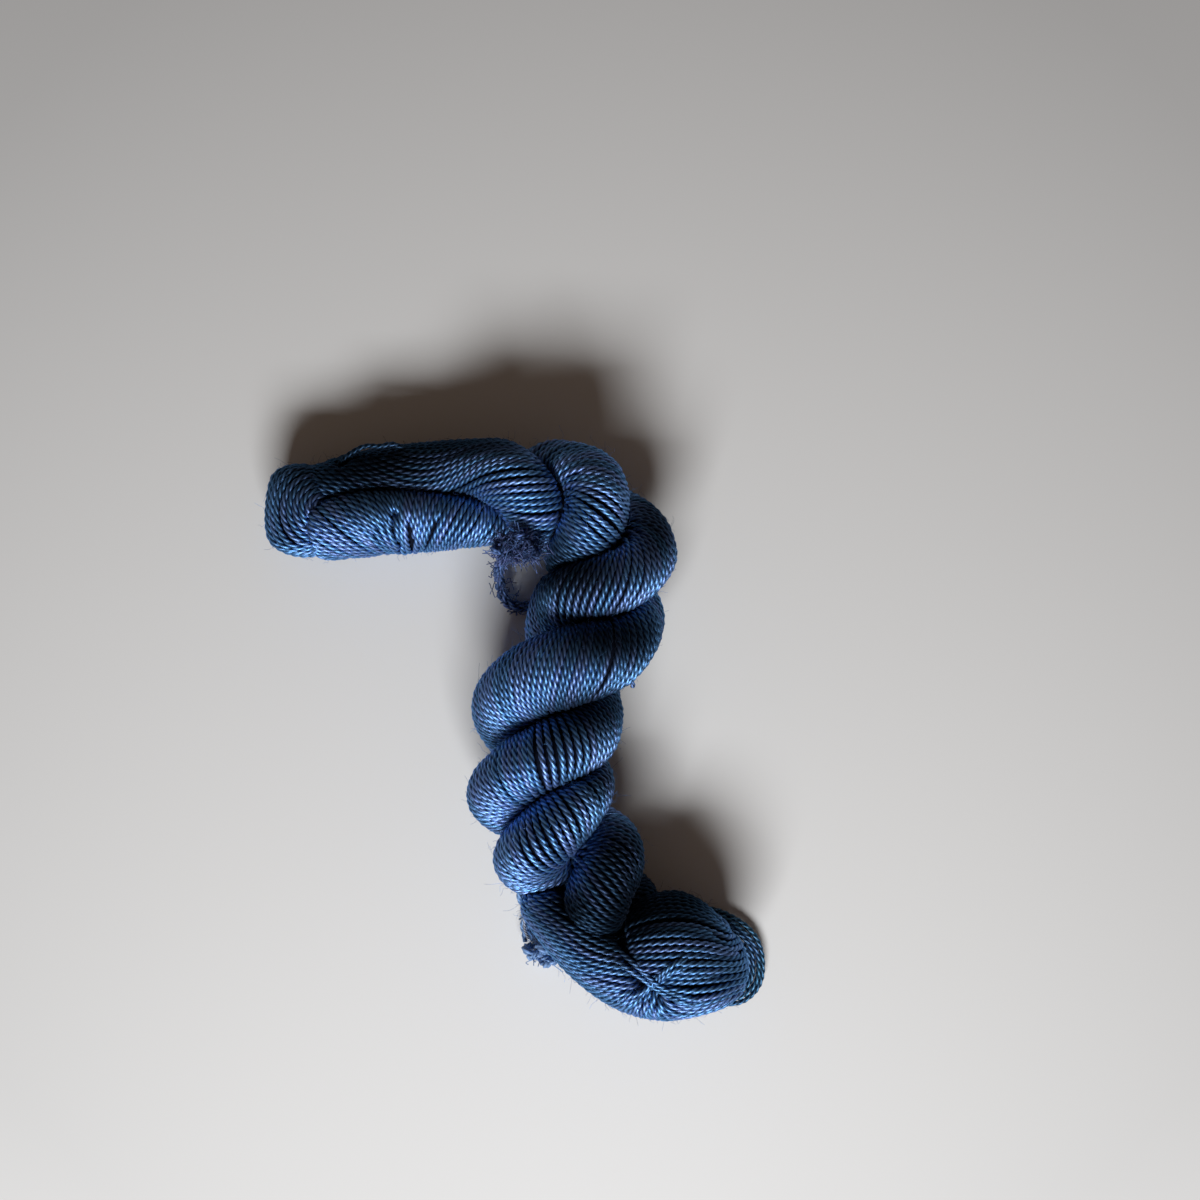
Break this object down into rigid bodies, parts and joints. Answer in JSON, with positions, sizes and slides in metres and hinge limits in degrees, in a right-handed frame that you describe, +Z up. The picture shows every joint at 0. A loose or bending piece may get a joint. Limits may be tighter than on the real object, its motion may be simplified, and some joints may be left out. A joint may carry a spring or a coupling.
{
  "type": "skein of yarn",
  "caption": "Twisted hank of plied navy yarn, bent round a corner, with a folded lower end, two knotted tie ends and a loose end loop.",
  "frame": {"origin": "middle of the hank's box, on the surface that it lies on", "axes": "+Z up from the surface, +Y along the twisted run towards the bend, +X towards the folded lower end"},
  "size_m": [0.1436, 0.1635, 0.0428],
  "materials": {
    "hank_yarn": "plied yarn with a soft sheen",
    "tie_yarn": "matt plied yarn with frayed ends",
    "loop_yarn": "plied yarn with pale flecks"
  },
  "bodies": {
    "root": {"hank": "hank_yarn", "upper_tie_knot": "tie_yarn", "upper_tie_end": "tie_yarn", "lower_tie_knot": "tie_yarn", "lower_tie_end": "tie_yarn", "end_loop": "loop_yarn"}
  },
  "joints": []
}
